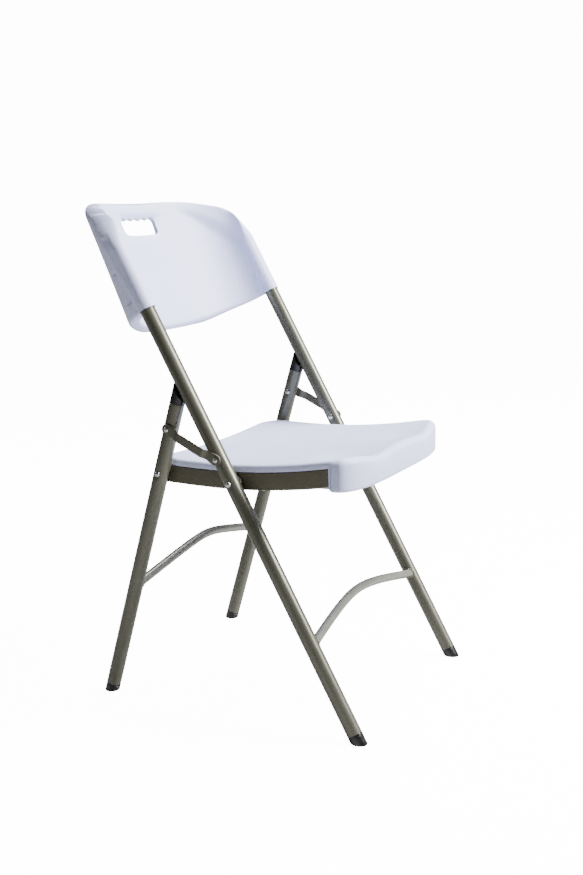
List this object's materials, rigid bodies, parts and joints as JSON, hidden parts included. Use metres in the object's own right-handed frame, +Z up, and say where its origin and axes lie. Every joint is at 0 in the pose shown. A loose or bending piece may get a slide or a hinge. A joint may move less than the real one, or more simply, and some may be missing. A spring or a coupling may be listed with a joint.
{
  "type": "folding chair",
  "caption": "Folding chair with a moulded seat and a curved moulded back on crossed round steel legs that fold flat.",
  "frame": {"origin": "on the floor, at the centre of the open chair's bounding box", "axes": "+Z up; the sitter faces -Y; the chair's left-hand side is +X"},
  "size_m": [0.4434, 0.5589, 0.8403],
  "materials": {
    "taupe_tube_paint": "satin metallic powder coat",
    "taupe_rail_paint": "satin powder coat",
    "taupe_strap_paint": "satin powder coat",
    "white_plastic": "fine pebble texture, cool white",
    "black_plastic": "moulded, slightly glossy",
    "rivet_steel": "bright zinc plate",
    "screw_steel": "zinc plate",
    "natural_nylon": "natural nylon"
  },
  "bodies": {
    "front_frame": {"front_tube_right": "taupe_tube_paint", "front_tube_left": "taupe_tube_paint", "front_foot_right": "black_plastic", "front_foot_left": "black_plastic", "front_crossbar": "taupe_tube_paint", "back_panel": "white_plastic", "strap_front_rivet_right": "rivet_steel", "strap_front_rivet_left": "rivet_steel", "seat_front_rivet_right": "rivet_steel", "seat_front_rivet_left": "rivet_steel", "back_screw_right_1": "screw_steel", "back_screw_right_2": "screw_steel", "back_screw_left_1": "screw_steel", "back_screw_left_2": "screw_steel"},
    "seat": {"seat_panel": "white_plastic", "seat_rail_right": "taupe_rail_paint", "seat_rail_left": "taupe_rail_paint", "seat_spacer_right": "natural_nylon", "seat_spacer_left": "natural_nylon", "rail_screw_right_1": "screw_steel", "rail_screw_right_2": "screw_steel", "rail_screw_right_3": "screw_steel", "rail_screw_left_1": "screw_steel", "rail_screw_left_2": "screw_steel", "rail_screw_left_3": "screw_steel"},
    "rear_frame": {"rear_tube_right": "taupe_tube_paint", "rear_tube_left": "taupe_tube_paint", "rear_foot_right": "black_plastic", "rear_foot_left": "black_plastic", "rear_tube_cap_right": "black_plastic", "rear_tube_cap_left": "black_plastic", "rear_crossbar": "taupe_tube_paint", "strap_rear_rivet_right": "rivet_steel", "strap_rear_rivet_left": "rivet_steel", "seat_rear_rivet_right": "rivet_steel", "seat_rear_rivet_left": "rivet_steel"},
    "link_right": {"link_strap_right": "taupe_strap_paint"},
    "link_left": {"link_strap_left": "taupe_strap_paint"}
  },
  "joints": [
    {"name": "seat_fold", "type": "hinge", "parent": "front_frame", "child": "seat", "pos_m": [0, -0.04664, 0.39921], "axis": [-1, 0, 0], "range_deg": [0, 108.09]},
    {"name": "link_right_swing", "type": "hinge", "parent": "front_frame", "child": "link_right", "pos_m": [0, -0.02565, 0.43756], "axis": [-1, 0, 0], "range_deg": [0, 126.86]},
    {"name": "link_left_swing", "type": "hinge", "parent": "front_frame", "child": "link_left", "pos_m": [0, -0.02565, 0.43756], "axis": [-1, 0, 0], "range_deg": [0, 126.86]},
    {"name": "rear_frame_fold", "type": "hinge", "parent": "link_right", "child": "rear_frame", "pos_m": [0, 0.0653, 0.4805], "axis": [1, 0, 0], "range_deg": [0, 80.79]}
  ],
  "couplings": [
    {"joint": "link_right_swing", "follows": "seat_fold", "ratio": 1.1736},
    {"joint": "link_left_swing", "follows": "seat_fold", "ratio": 1.1736},
    {"joint": "rear_frame_fold", "follows": "seat_fold", "ratio": 0.7474}
  ]
}
